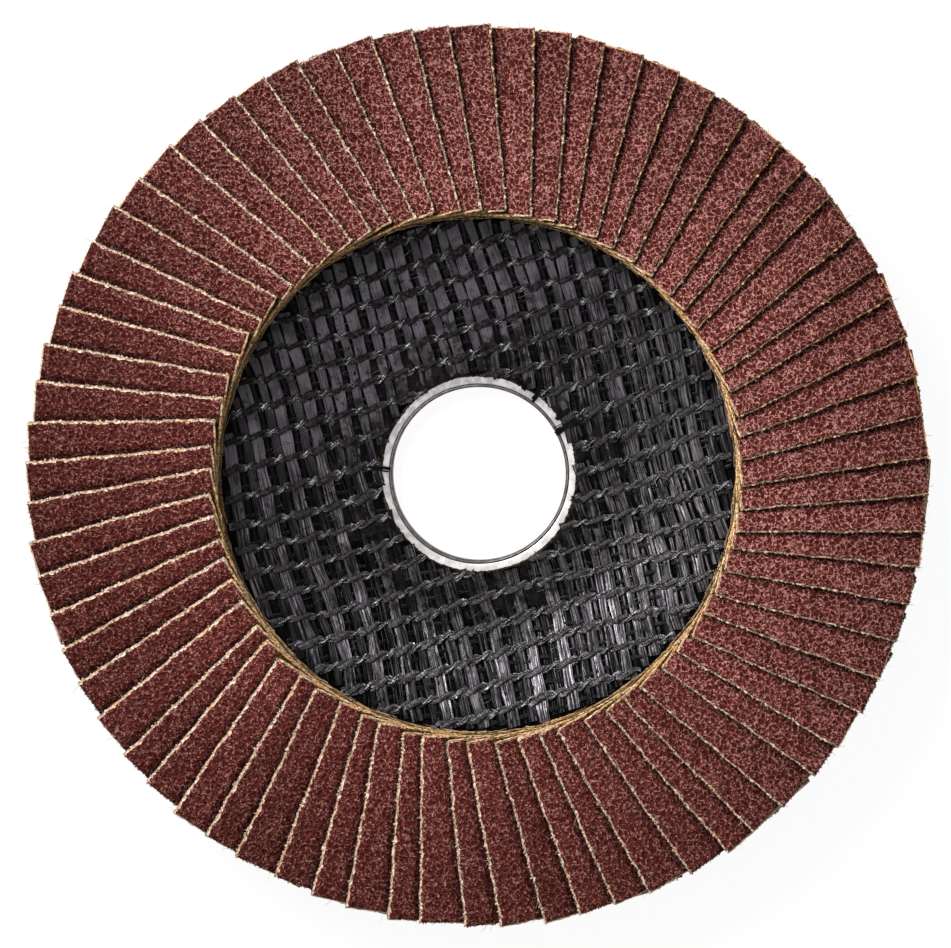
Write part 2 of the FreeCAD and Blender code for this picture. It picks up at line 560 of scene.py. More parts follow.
def row_material():
    """Twisted glass strands: pressed, matte and dark over the ribbons, painted glints on fibres between."""
    look = Look("mesh_row")
    along, across, in_gap = look.values()
    streaks = look.noise(1.0, 3.0, 0.65, look.stretched(along * 0.0006, across * 0.006, 0.0))
    lower = look.towards(-60, -22, 26)
    # Painted glints on the fibres between the ribbons.
    bright = blend(streaks.ramp(0.44, 0.64), (0.0015, 0.0015, 0.0015), (0.38, 0.362, 0.388))
    dull = blend(look.noise(0.5, 3.0).ramp(0.4, 0.65), (0.008, 0.007, 0.0068), (0.040, 0.035, 0.034))
    # Painted light: on the lower right the pads take a lighter, streaked colour.
    lit_pads = blend(streaks.ramp(0.34, 0.6), (0.020, 0.019, 0.0195), (0.092, 0.086, 0.091))
    # The glints take more of each gap towards the lower right.
    gap = (in_gap + (look.noise(0.9) - lower.spread(0.62, 0.45))).ramp(0.4, 0.9)
    body = blend(gap, blend(lower, dull, lit_pads), bright)
    normal = streaks.bump(0.08, 0.8, look.noise(0.3, 3.0).bump(0.04, 0.5))
    # Painted shade along the strand's edges.
    body = body.shaded(abs(across).ramp(0.2, 0.29, 1.0, 0.06))
    return look.finish(body, gap.larger(lower).spread(0.7, 0.32), normal, metallic=0.5, specular=0.12)


def resin_material():
    """Black laminate: deep black in the mesh's gaps, brownish where resin has flowed over the strands."""
    look = Look("laminate_resin")
    film = look.values()[0]
    mottle = look.noise(0.7, 4.0, 0.65)
    skin = blend(mottle.ramp(0.35, 0.68), (0.002, 0.002, 0.002), (0.019, 0.0165, 0.0155))
    body = blend(film.ramp(0.16, 0.36), (0.001, 0.001, 0.001), skin)
    fringe = look.radius().ramp(12.6, 12.85, 1.0, 0.0) * look.noise(0.5).ramp(0.42, 0.6)
    body = blend(fringe, body, (0.07, 0.045, 0.032))
    normal = look.noise(0.25, 3.0, 0.6).bump(0.08, 0.8)
    return look.finish(body, mottle.ramp(0.35, 0.7, 0.5, 0.85), normal, specular=0.03)


def laminate_material():
    """The plate's moulded back and rim: black resin over woven glass."""
    look = Look("laminate_back")
    mottle = look.noise(3.0, 4.0, 0.6)
    body = blend(mottle.ramp(0.3, 0.7), (0.013, 0.013, 0.014), (0.028, 0.027, 0.027))
    body = blend(look.noise(0.3).ramp(0.66, 0.74, 0.0, 0.5), body, (0.09, 0.088, 0.085))
    return look.finish(body, mottle.ramp(0.3, 0.7, 0.42, 0.68), look.noise(0.35, 3.0).bump(0.05, 0.6))


def metal_material():
    """Tin-plated steel, pressed and a little scuffed, with a painted warm highlight to the lower right."""
    look = Look("ring_steel")
    clouds = look.noise(1.2, 3.0, 0.6)
    body = blend(clouds.ramp(0.35, 0.65), (0.36, 0.34, 0.345), (0.52, 0.50, 0.505))
    x, y, _ = look.spot.parts()
    # Painted highlight: brighter and warmer towards the lower right.
    body = blend((x - y).ramp(-0.006, 0.012, 0.0, 0.5), body, (0.84, 0.81, 0.77))
    body = blend(look.noise(0.45, 4.0, 0.7).ramp(0.6, 0.72, 0.0, 0.7), body, (0.2, 0.17, 0.15))
    normal = look.noise(0.3, 2.0, 0.6).bump(0.008, 0.6)
    return look.finish(body, clouds.ramp(0.3, 0.7, 0.34, 0.5), normal, metallic=1.0)


def lip_material():
    """The ring's rolled lip: the same steel, painted darker as shade."""
    look = Look("ring_lip")
    body = blend(look.noise(0.8, 3.0, 0.6).ramp(0.35, 0.65), (0.10, 0.088, 0.085), (0.18, 0.16, 0.156))
    return look.finish(body, 0.5, look.noise(0.4, 3.0).bump(0.03, 0.6), metallic=1.0)


def groove_material():
    """Painted shade in the crease between the ring's lip and its flange."""
    look = Look("ring_crease")
    return look.finish(blend(look.noise(0.6, 3.0), (0.012, 0.011, 0.010), (0.06, 0.05, 0.045)), 0.8)


def adhesive_material():
    """Ochre resin that has run between the flaps' lower edges."""
    look = Look("ochre_adhesive")
    body = blend(look.noise(1.4, 3.0, 0.6).ramp(0.35, 0.68), (0.02, 0.009, 0.003), (0.24, 0.12, 0.035))
    return look.finish(body, 0.45, look.noise(0.4, 3.0).bump(0.15, 0.7))


# The dish that the mesh lies in

def soft_step(value):
    """Integral of a soft switch: nothing below zero, the value itself above it."""
    return np.logaddexp(0, value / bend_softness) * bend_softness


def switch(value):
    return 1 / (1 + np.exp(-np.clip(value / bend_softness, -40, 40)))


def dish_front(radius):
    """Height of the plate's front."""
    return hub_front + wall_slope * (soft_step(radius - hub_radius) - soft_step(radius - shoulder_radius))


def lay(x, y, height):
    """Points at a height above the plate's front, measured square to it."""
    radius = np.hypot(x, y)
    lean = np.arctan(wall_slope * (switch(radius - hub_radius) - switch(radius - shoulder_radius)))
    inwards = height * np.sin(lean) / np.maximum(radius, 1)
    return stacked(x - x * inwards, y - y * inwards, dish_front(radius) + height * np.cos(lean))


class Weave:
    """Plan of a mesh: straight rows and ribbons, pulled out of true a little."""

    def __init__(self, seed, angle):
        self.seed = seed
        self.angle = angle

    def place(self, along, across):
        """Plan position of a point given along and across the rows."""
        chance = np.random.default_rng(self.seed)
        x = along * math.cos(self.angle) - across * math.sin(self.angle)
        y = along * math.sin(self.angle) + across * math.cos(self.angle)
        return x + field(x, y, chance, 0.45, 30), y + field(x, y, chance, 0.45, 30)


main_weave = Weave(21, weave_angle)
under_weave = Weave(34, weave_angle + math.radians(1.5))


def add_runs(shape, points, details, middle, margin, smooth=False):
    """Adds the runs of a strand whose middle radius lies between the mesh's edges."""
    inside = (middle > weave_inner_radius + margin) & (middle < weave_outer_radius)
    start = None
    for number, kept in enumerate([*inside, False]):
        if kept and start is None:
            start = number
        if not kept and start is not None:
            if number - start > 2:
                add_closed(shape, points[None, start:number], details[None, start:number], 0, smooth)
            start = None


def add_row(shape, weave, along, across, height, details, margin, smooth=False):
    plan_x, plan_y = weave.place(along, across)
    middle = np.hypot(plan_x.mean(axis=1), plan_y.mean(axis=1))
    add_runs(shape, lay(plan_x, plan_y, height), details, middle, margin, smooth)


def strand_numbers(spacing):
    """Numbers of the strands that cover the mesh, counted from its middle."""
    count = int(weave_reach / spacing) + 1
    return range(-count, count + 1)


def make_ribbons(name, material, width, base, thickness, phase, step, lines, seed, unevenness):
    """Flat ribbons: each keeps its own fibre ridges and is a little tilted between two rows."""
    shape = Shape()
    chance = np.random.default_rng(seed)
    across = np.arange(-weave_reach, weave_reach, step)[:, None]
    window = (across - row_phase) / row_spacing
    order = np.floor(window).astype(int) + first_window
    part = window - np.floor(window)
    pillow = np.sin(math.pi * part) ** 0.5
    for number in strand_numbers(ribbon_spacing):
        centre = number * ribbon_spacing + phase + chance.normal(0, 0.1)
        sway = wave(across, chance, 0.12, (9, 17, 5))
        widths = width * (1 + wave(across, chance, 0.12, (7, 13, 4)))
        tilts, pitches, levels = (chance.normal(0, spread, cell_draws)[order] * pillow
                                  for spread in (unevenness, unevenness, 0.03))
        u = np.linspace(-0.5, 0.5, lines)
        u = u + chance.uniform(-0.2, 0.2, lines) / lines
        u[0], u[-1] = -0.5, 0.5
        ridges = chance.normal(0, 0.045, lines)
        ridges[0] = ridges[-1] = -thickness * 0.45
        rough = chance.normal(0, 0.008, (len(across), lines))
        middle_x, middle_y = main_weave.place(centre, across)
        coarseness = 0.45 + 1.2 * np.clip((middle_x - middle_y) / 40 + 0.5, 0, 1)
        top = (base + thickness + ridges * coarseness + rough + 0.05 * pillow + levels
               + tilts * u * width + pitches * (part - 0.5))
        groove = chance.integers(2, lines - 2, cell_draws)[order]
        depth = chance.uniform(-0.15, 0.16, cell_draws)[order].clip(0) * coarseness
        top[np.arange(len(across))[:, None], groove] -= depth
        plan_x, plan_y = main_weave.place(centre + sway + u * widths, across)
        under = lay(plan_x[:, [-1, 0]], plan_y[:, [-1, 0]], base)
        points = np.concatenate([lay(plan_x, plan_y, top), under], axis=1)
        details = stacked(across, np.append(u, (u[-1], u[0])) * width, number + 7.3 * (seed % 5))
        add_runs(shape, points, details, np.hypot(plan_x, plan_y)[:, lines // 2], 0.25)
    shape.build(name, [material], "glass_mesh", "glass_mesh")


def make_rows(material):
    """Rows of two twisted strands, which change places between every two ribbons."""
    shape = Shape()
    chance = np.random.default_rng(row_seed)
    angles = angles_round(12)
    for number in strand_numbers(row_spacing):
        centre = number * row_spacing + row_phase + chance.normal(0, 0.08)
        along = (np.arange(-weave_reach, weave_reach, row_step) + chance.uniform(0, row_step))[:, None]
        cell = (along - ribbon_phase) / ribbon_spacing
        order = np.floor(cell + 0.5).astype(int) + first_cell
        cycle = full_turn * cell
        in_gap = (0.5 - 0.5 * np.cos(cycle)) ** 1.3
        pads = chance.uniform(0.7, 1.25, cell_draws)[order]
        sizes = chance.uniform(0.8, 1.2, cell_draws)[order]
        sway = wave(along, chance, 0.14, (6, 11, 19))
        for strand in range(2):
            turn = cycle - 0.35 * np.sin(cycle) + math.pi * strand
            rise = 0.33 + np.cos(turn) * (0.2 - 0.04 * in_gap)
            aside = np.sin(turn) * 0.27 * sizes
            half_across = 0.4 * pads * (1 - in_gap) + 0.3 * sizes * in_gap
            half_up = 0.14 * (1 - in_gap) + 0.16 * in_gap
            ridge = 1 + chance.normal(0, 0.2, len(angles))
            ridge = ridge + chance.normal(0, 0.09, (len(along), len(angles)))
            spiral = angles + full_turn / twist_length * along
            offset = np.cos(spiral) * half_across * ridge + aside
            height = np.maximum(np.sin(spiral) * half_up * ridge + rise, 0.02)
            details = stacked(along + strand * 31 + number * 3.7, np.cos(spiral) * 0.3, in_gap)
            add_row(shape, main_weave, along, centre + sway + offset, height, details, 0.1)
    shape.build("mesh_rows", [material], "glass_mesh", "glass_mesh")


def make_under_rows(material):
    """Rows of the second mesh, seen only in the gaps of the first."""
    shape = Shape()
    chance = np.random.default_rng(under_row_seed)
    angles = angles_round(6)
    along = np.arange(-weave_reach, weave_reach, under_row_step)[:, None]
    for number in strand_numbers(row_spacing):
        centre = (number + 0.45) * row_spacing + row_phase + chance.normal(0, 0.2)
        sway = wave(along, chance, 0.16, (6, 11, 19))
        offset = np.cos(angles) * 0.32 + np.sin(full_turn * along / ribbon_spacing) * 0.12
        height = np.maximum(np.sin(angles) * 0.12 + 0.13 + chance.normal(0, 0.02, along.shape), 0.01)
        details = stacked(along + number * 5.1, angles * 0.3, 0.2)
        add_row(shape, under_weave, along, centre + sway + offset, height, details, 0.3, True)
    shape.build("mesh_under_rows", [material], "glass_mesh", "glass_mesh")


def make_loose_fibres(material):
    """Fine broken fibres that lie on the mesh."""
    shape = Shape()
    chance = np.random.default_rng(loose_seed)
    size = (loose_fibres, 1)
    turn = chance.uniform(0, full_turn, size)
    out = np.sqrt(chance.uniform((weave_inner_radius + 1.5) ** 2, (weave_outer_radius - 1.5) ** 2, size))
    lengths = chance.uniform(0.6, 2.0, size)
    heading = np.where(chance.random(size) < 0.5, weave_angle + math.pi / 2, weave_angle + 0.2)
    heading = heading + chance.normal(0, 0.16, size)
    t = np.linspace(-0.5, 0.5, 5)
    bow = chance.normal(0, 0.05, size) * (1 - 4 * t ** 2)
    x = out * np.cos(turn) + lengths * t * np.cos(heading) - bow * np.sin(heading)
    y = out * np.sin(turn) + lengths * t * np.sin(heading) + bow * np.cos(heading)
    height = chance.uniform(0.36, 0.6, size) + 0.06 * np.cos(t * math.pi)
    radii = chance.uniform(0.018, 0.042, size) * (1 - 1.2 * t ** 2)
    add_tubes(shape, lay(x, y, height), radii, 4, chance.random(size))
    shape.build("mesh_loose_fibres", [material], "glass_mesh", "glass_mesh")


def make_crossing_strands(material):
    """Strands of the mesh whose loose ends lie across the ring's flange."""
    shape = Shape()
    chance = np.random.default_rng(crossing_seed)
    t = np.linspace(0, 1, 9)
    for azimuth, inner, outer, width, count in crossing_strands:
        size = (count, 1)
        turn = math.radians(azimuth)
        beside = chance.normal(0, width / 4, size)
        start = inner + np.abs(chance.normal(0, 0.25, size))
        along = start + (outer - start) * t
        aside = beside + 0.12 * np.sin(5 * t + chance.uniform(0, 6, size))
        height = hub_front + 0.06 + 0.28 * t + 0.3 * np.sin(math.pi * t) + chance.uniform(0, 0.16, size)
        paths = stacked(along * math.cos(turn) - aside * math.sin(turn),
                        along * math.sin(turn) + aside * math.cos(turn), height)
        radii = chance.uniform(0.05, 0.13, size) * (1 - 0.3 * t)
        add_tubes(shape, paths, radii, 5, np.full(size, 0.1), 0, False)
    shape.build("mesh_crossing_strands", [material], "glass_mesh", "glass_mesh")


def make_bed_fibres(material):
    """Fine ochre fibres that lie round the inner edge of the adhesive."""
    shape = Shape()
    chance = np.random.default_rng(bed_seed)
    size = (bed_fibres, 1)
    t = np.linspace(-0.5, 0.5, 7)
    turn = chance.uniform(0, full_turn, size)
    out = chance.uniform(32.8, 33.1, size)
    angles = turn + chance.uniform(1.2, 4.5, size) / out * t
    radii = out + chance.normal(0, 0.12, size) * t * 2 + chance.normal(0, 0.03, angles.shape)
    heights = chance.uniform(8.33, 8.5, size) + chance.normal(0, 0.03, angles.shape)
    paths = stacked(radii * np.cos(angles), radii * np.sin(angles), heights)
    thickness = chance.uniform(0.03, 0.085, size) * (1 - 1.4 * t ** 2)
    add_tubes(shape, paths, thickness, 4, chance.uniform(0.35, 1, size))
    shape.build("bed_fibres", [material], "abrasive_cloth")


# Plate and ring

def ring_points(radii, heights):
    """Points of a surface of revolution: radii and heights are (turn, profile point)."""
    turns = angles_round(len(radii))[:, None]
    return stacked(radii * np.cos(turns), radii * np.sin(turns), heights)


def ring_faces(turns, profile):
    """Quads of a surface of revolution with a closed profile, as (turn, profile point, corner)."""
    here = np.arange(turns * profile).reshape(turns, profile)
    after = np.roll(here, -1, axis=0)
    return stacked(here, after, np.roll(after, -1, axis=1), np.roll(here, -1, axis=1))


def weave_relief(x, y):
    """Height of the woven glass that shows through the moulded back, from 0 to 1."""
    along = x * math.cos(-weave_angle) - y * math.sin(-weave_angle)
    across = x * math.sin(-weave_angle) + y * math.cos(-weave_angle)
    ribbons = np.cos(full_turn * along / ribbon_spacing)
    rows = np.cos(full_turn * across / row_spacing)
    return np.clip(0.5 + 0.35 * ribbons * (1 + 0.3 * rows) + 0.3 * np.abs(rows), 0, 1)


def make_plate(materials):
    """Dished plate: resin of uneven level on its front, woven glass under the skin of its back."""
    def all_round(*parts):
        wide = [np.broadcast_to(part, (plate_segments, np.shape(part)[-1])) for part in parts]
        return np.concatenate(wide, axis=1)

    chance = np.random.default_rng(plate_seed)
    turns = angles_round(plate_segments)[:, None]
    ragged = (weave_inner_radius + 0.06
              + wave(turns * 12, chance, 0.12, (edge_round / 2, edge_round / 5, edge_round / 13))
              - np.abs(chance.normal(0, 0.06, turns.shape)))
    front = np.concatenate([
        np.arange(12.7, 21.4, 0.3),
        np.arange(21.4, 33.2, 0.55),
        (34.0, 40.0, 47.0, plate_radius),
    ])
    x = front * np.cos(turns)
    y = front * np.sin(turns)
    flood = field(x, y, chance, 0.16, 7.0) + field(x, y, chance, 0.09, 2.6)
    hub = switch((hub_radius - 1.0 - front) * 0.3)
    film = np.clip(0.02 + hub * (0.17 + flood) + (1 - hub) * np.maximum(flood - 0.1, 0) * 0.6, 0.01, 0.5)
    film = film * (front < shoulder_radius + 0.4)

    back_offset = plate_thickness * math.tan(math.atan(wall_slope) / 2)
    back_bore = flange_radius - ring_wall * 4
    back = np.concatenate([
        np.arange(plate_radius - 0.01, shoulder_radius + back_offset, -0.75),
        np.arange(shoulder_radius + back_offset, back_bore, -0.75),
    ])
    relief = 1 - weave_relief(back * np.cos(turns), back * np.sin(turns))
    relief = relief_depth * relief * np.clip((plate_radius - 0.4 - back) / 0.8, 0, 1)
    bends = (-shoulder_radius - back_offset, -hub_radius - back_offset)
    back_heights = np.interp(-back, bends, (hub_depth, 0))
    counterbore = np.array([
        (back_bore, 0.0),
        (back_bore, hub_front - ring_wall),
        (flange_radius, hub_front - ring_wall),
        (flange_radius, hub_front + 0.01),
    ])
    lip_lift = 0.06 + np.abs(chance.normal(0, 0.05, turns.shape))
    lip_heights = hub_front + lip_lift * (0, 0.5, 1) + (0.01, 0, 0)
    radii = all_round(back, counterbore[:, 0], ragged + (0.03, 0, 0.12), front)
    heights = all_round(back_heights + relief, counterbore[:, 1], lip_heights, dish_front(front) + film)
    shape = Shape()
    points = ring_points(radii, heights)
    details = np.zeros(points.shape)
    details[:, -len(front):, 0] = film
    details[:, -len(front) - 3:-len(front), 0] = 0.3
    quads = shape.add_points(points, details) + ring_faces(*radii.shape)
    front_start = len(back) + len(counterbore) - 1
    shape.add_faces(quads[:, front_start:], 0, True)
    shape.add_faces(quads[:, :front_start], 1)
    shape.build("plate_body", materials, "laminate", "backing_plate")


def make_ring(materials):
    """Pressed eyelet: rounded lip, a crease in painted shade, and a flat flange that is a little uneven."""
    chance = np.random.default_rng(ring_seed)
    crease = bore_radius + lip_radius + groove_width / 2
    flange_start = crease + groove_width / 2 + 0.03
    profile = [(bore_radius, 0.1), (bore_radius, hub_front - lip_radius)]
    for turn in (22, 45, 67, 90):
        angle = math.radians(turn)
        profile.append((bore_radius + lip_radius * (1 - math.cos(angle)),
                        hub_front - lip_radius * (1 - math.sin(angle)) - 0.02))
    profile += [
        (crease - 0.01, hub_front - groove_depth),
        (crease + 0.02, hub_front - groove_depth),
        (flange_start, hub_front - 0.02),
        (flange_start + 0.12, hub_front),
        (flange_radius - 0.6, hub_front),
        (flange_radius - 0.02, hub_front - 0.02),
        (flange_radius - 0.02, hub_front - ring_wall),
        (bore_radius + ring_wall, hub_front - ring_wall),
        (bore_radius + ring_wall, 0.0),
        (bore_radius + 0.1, 0.0),
    ]
    radii, heights = (np.tile(part, (ring_segments, 1)) for part in np.array(profile).T)
    turns = angles_round(ring_segments)[:, None]
    heights[:, 8:12] += wave(turns, chance, 0.008, (full_turn / 3, full_turn / 7, full_turn / 17)) - 0.02
    radii[:, 2:7] += wave(turns, chance, 0.03, (full_turn / 2, full_turn / 5, full_turn / 13))
    shape = Shape()
    points = ring_points(radii, heights)
    quads = shape.add_points(points, np.zeros(points.shape)) + ring_faces(*radii.shape)[..., [0, 3, 2, 1]]
    steel, crease_shade, lip = range(3)
    kinds = np.full(len(profile), steel)
    kinds[:5] = kinds[15:] = lip
    # The crease is painted dark as shade.
    kinds[5:8] = crease_shade
    for kind in (steel, crease_shade, lip):
        shape.add_faces(quads[:, kinds == kind], kind, True)
    shape.build("ring_eyelet", materials, "ring_metal", "arbor_ring")


# Flaps

def add_yarn_ends(shape, places, directions, radii, lengths, material, chance):
    """Short blunt yarn ends that stick out of the cloth's cut edge."""
    count = len(places)
    sides = 4
    side = unit(np.cross(directions, (0.1, 0.2, 1.0)))
    lift = np.cross(side, directions)
    angles = angles_round(sides)[:, None]
    spread = (side[:, None] * np.cos(angles) + lift[:, None] * np.sin(angles)) * radii[:, None, None]
    wobble = chance.uniform(0.75, 1.25, (count, sides, 1))
    root = places[:, None] - directions[:, None] * 0.15 + spread * 0.8
    belly = (places + directions * (lengths * 0.6)[:, None])[:, None] + spread * wobble
    tip = (places + directions * lengths[:, None])[:, None]
    points = np.concatenate([root, belly, tip], axis=1)
    details = np.zeros(points.shape)
    details[..., 2] = 0.45 + 0.55 * chance.random((count, 1))
    details[:, :sides, 2] *= 0.6
    starts = shape.add_points(points, details) + np.arange(count)[:, None, None] * (2 * sides + 1)
    shape.add_faces(starts + grid_faces(2, sides, wrap=True)[:, ::-1], material, True)
    here = np.arange(sides)
    cone = stacked(sides + here, 2 * sides, sides + (here + 1) % sides)[:, ::-1]
    shape.add_faces(starts + cone, material, True)
    shape.add_faces(starts[:, 0] + here, material)


def add_threads(shape, roots, directions, lengths, chance):
    """Thin loose threads that curl a little."""
    count = len(roots)
    t = np.linspace(0, 1, 5)[:, None]
    curl = np.cross(directions, chance.normal(0, 1, (count, 3))) * 0.5
    paths = roots[:, None] + lengths[:, None, None] * (directions[:, None] * t + curl[:, None] * t ** 2)
    radii = chance.uniform(0.02, 0.045, (count, 1)) * (1 - 0.5 * t[:, 0])
    add_tubes(shape, paths, radii, 3, chance.uniform(0.6, 1, count), cream)


def put_in_place(points, number, slide, shift, yaw):
    """Takes points of a flat flap to the flap's place on the disc."""
    flat = points @ turn_about("Z", math.radians(yaw)).T + (shift, slide, 0)
    tilted = flat @ turn_about("X", -flap_tilt).T + flap_centre
    return tilted @ turn_about("Z", math.radians(number * 360 / flap_count)).T


def before_edge(points, number, slide, shift, yaw):
    """Distances of points on the disc from a flap's free edge, on the side that the flap leaves bare."""
    turned = points @ turn_about("Z", math.radians(number * 360 / flap_count))
    flat = (turned - flap_centre) @ turn_about("X", -flap_tilt) - (shift, slide, 0)
    return -half_width - (flat @ turn_about("Z", math.radians(yaw)))[..., 1]


def add_slab(shape, number, placing, next_placing, lit, chance):
    """Grain and cut edges of a flat flap. Gives the stations along it and how its free edge waves there."""
    steps = round(flap_length / grain_step)
    x_line = np.arange(-half_length, half_length + grain_step / 2, flap_length / steps)
    band = 2 * math.tan(math.pi / flap_count) * (flap_centre_reach + x_line) + grain_margin
    fine = -half_width + band[:, None] * np.linspace(0, 1, grain_columns)
    coarse = fine[:, -1:] + (half_width - fine[:, -1:]) * (1 / 3, 2 / 3, 1)
    y = np.concatenate([fine, coarse], axis=1)
    rows, columns = y.shape
    x = np.broadcast_to(x_line[:, None], y.shape)
    edge_wave = wave(x_line, chance, 0.13, (19, 8.3, 3.7))
    near_edge = np.clip((-4.5 - y) / 2.75, 0, 1)
    is_fine = np.broadcast_to(np.arange(columns) < grain_columns, x.shape)
    jitter = 0.32 * is_fine * (band / (grain_columns - 1))[:, None]
    x = x + chance.uniform(-1, 1, x.shape) * jitter
    y = y + chance.uniform(-1, 1, y.shape) * jitter
    height = np.where(is_fine, chance.random(x.shape) ** 0.75, 0.7)
    z = half_thickness - grain_pit * (1 - height)

    chips = 0.05 + 0.13 * chance.random(rows)
    chips += np.maximum(wave(x_line, chance, 0.36, (5.1, 2.3, 1.3)) - 0.04, 0)
    chips *= 0.46 + 0.3 * lit
    y[:, 0] = -half_width + chips
    y[:, 1] = np.maximum(y[:, 1], y[:, 0] + 0.1)
    x[0] = -half_length + chance.uniform(0.06, 0.19, columns)
    x[-1] = half_length - chance.uniform(0.02, 0.16, columns)
    z[:, 0] -= cut_drop
    z[0] -= cut_drop
    z[-1] -= cut_drop
    y = y + near_edge * edge_wave[:, None]
    tone = 1 + 0.06 * chance.normal()
    surface = stacked(x, y, z)
    bare = before_edge(put_in_place(surface, number, *placing), number + 1, *next_placing)
    details = stacked(height, bare, tone)
    details[:, 0, 0] = 0.6
    first = shape.add_points(surface, details)
    shape.add_faces(first + grid_faces(rows, columns), grain, True)

    index = np.arange(rows * columns).reshape(rows, columns)
    rim = np.concatenate([index[:-1, 0], index[-1, :-1], index[:0:-1, -1], index[0, :0:-1]])
    top_x, top_y, _ = surface.reshape(-1, 3)[rim].T
    count = len(rim)
    is_free = np.arange(count) < rows
    is_inner = np.arange(count) >= count - columns
    on_end = np.abs(top_x) > half_length - 0.2
    end_x = np.clip(np.round(top_x / half_length) * half_length, -half_length, half_length)
    out_x = np.where(on_end, end_x, top_x)
    out_y = np.where(top_y < -half_width + 0.8, -half_width, top_y)
    out_y = np.where(is_free, out_y + np.interp(out_x, x_line, edge_wave), out_y)
    fray = chance.uniform(-0.08, 0.1, count) + wave(top_x, chance, 0.24, (1.5, 0.97, 0.68))
    seam = stacked((top_x + out_x) / 2, (top_y + out_y) / 2, grain_base + chance.uniform(0.0, 0.06, count))
    upper = stacked(out_x + np.sign(out_x) * fray * on_end, out_y - fray * is_free,
                    grain_base - chance.uniform(0.02, 0.1, count))
    rings = [first + rim]
    # The cut edge's face darkens to its foot, next to the flap below: painted shade.
    for ring, brightness in ((seam, 0.9), (upper, 1.0), (stacked(out_x, out_y, -half_thickness), 0.1)):
        details = np.tile((0.5, 3.0, tone * brightness), (count, 1))
        rings.append(shape.add_points(ring, details) + np.arange(count))
    inner_kind = np.where(top_y < -half_width + 2.2, cut_cloth, ochre)
    # More of the free edge is pale cream on flaps that face the lamp: painted light.
    outer_kind = np.where(is_free & (chance.random(count) < 0.15 + 0.45 * lit), cream, grain)
    for above, below in zip(rings, rings[1:]):
        quads = stacked(above, below, np.roll(below, -1), np.roll(above, -1))
        edge_kind = np.where(is_inner, inner_kind, outer_kind)
        for kind in (grain, cut_cloth, ochre, cream):
            if (edge_kind == kind).any():
                shape.add_faces(quads[edge_kind == kind], kind)
        outer_kind = cut_cloth
    shape.add_faces(rings[-1][::-1][None], cloth_back)
    return x_line, edge_wave


def add_flap(shape, number, placing, next_placing):
    """One flap: grain on cloth, with its cut edges and yarn ends, made flat and then put in its place."""
    chance = np.random.default_rng(cloth_seed + number)
    parts_before = len(shape.points)
    lit = 0.5 - 0.5 * math.cos(full_turn * number / flap_count - edge_light)
    x_line, edge_wave = add_slab(shape, number, placing, next_placing, lit, chance)

    ends = int(flap_length / edge_spacing)
    spots = (np.arange(ends) + chance.uniform(0, 1, ends)) * edge_spacing - half_length
    free_edge = -half_width + np.interp(spots, x_line, edge_wave)
    places = stacked(spots, free_edge, chance.uniform(-0.22, 0.2, ends))
    directions = unit(stacked(chance.normal(0, 0.35, ends), -1, chance.normal(0.1, 0.25, ends)))
    long_ends = chance.random(ends) < 0.15
    add_yarn_ends(shape, places, directions, chance.uniform(0.09, 0.2, ends) * (0.72 + 0.26 * lit),
                  chance.uniform(0.02, 0.24, ends) * (0.7 + 0.3 * lit) + 0.2 * long_ends, cream, chance)
    for side, material, reach, spacing, longest in ((-1, ochre, flap_width, 0.8, 0.14),
                                                    (-1, cut_cloth, 3.2, 0.28, 0.2),
                                                    (1, cream, flap_width, yarn_spacing, 0.2)):
        ends = int(reach / spacing)
        spots = (np.arange(ends) + chance.uniform(0, 1, ends)) * spacing - half_width
        places = stacked(side * half_length, spots, chance.uniform(-0.3, 0.1, ends))
        directions = unit(stacked(side, chance.normal(0, 0.3, ends), chance.normal(0, 0.2, ends)))
        add_yarn_ends(shape, places, directions, chance.uniform(0.08, 0.16, ends),
                      chance.uniform(0.03, longest, ends), material, chance)

    span = np.arange(-half_width + 0.15, half_width - 0.4, 0.42)
    lines = len(end_yarns)
    reaches, depths = np.array(end_yarns).T[..., None]
    inwards = reaches + chance.uniform(-0.04, 0.06, (lines, 1))
    yarn_x = np.stack([wave(span, chance, 0.09, (4.1, 1.9, 0.9)) for _ in range(lines)])
    yarn_z = np.stack([wave(span, chance, 0.07, (3.3, 1.7)) for _ in range(lines)])
    paths = stacked(-half_length - inwards + yarn_x, span, depths + yarn_z)
    thickness = chance.uniform(0.05, 0.11, yarn_x.shape)
    # Random tone times each line's painted shade.
    tones = chance.uniform(0.5, 1.1, yarn_x.shape) * np.array(end_yarn_painted_shade)[:, None]
    corner = span < -half_width + 2.6
    add_tubes(shape, paths[:1, corner], thickness[:1, corner] * 1.3, 4, tones[:1, corner], cut_cloth, False)
    add_tubes(shape, paths[:1, ~corner], thickness[:1, ~corner] * 1.2, 4, tones[:1, ~corner], ochre, False)
    add_tubes(shape, paths[1:], thickness[1:], 4, tones[1:], ochre, False)

    strays = strays_at_end + stray_tufts.get(number, 0)
    roots = stacked(half_length - 0.1, chance.uniform(-half_width, -2, strays),
                    chance.uniform(-0.2, 0.2, strays))
    directions = unit(stacked(1, chance.normal(0, 0.6, strays), chance.normal(0, 0.3, strays)))
    add_threads(shape, roots, directions, chance.uniform(0.3, 1.1, strays), chance)
    strays = strays_at_edge
    roots = stacked(chance.uniform(-half_length, half_length, strays), -half_width,
                    chance.uniform(-0.1, 0.2, strays))
    directions = unit(stacked(chance.normal(0, 0.9, strays), -1, chance.normal(0.2, 0.2, strays)))
    add_threads(shape, roots, directions, chance.uniform(0.3, 0.8, strays), chance)

    for part in range(parts_before, len(shape.points)):
        shape.points[part] = put_in_place(shape.points[part], number, *placing)


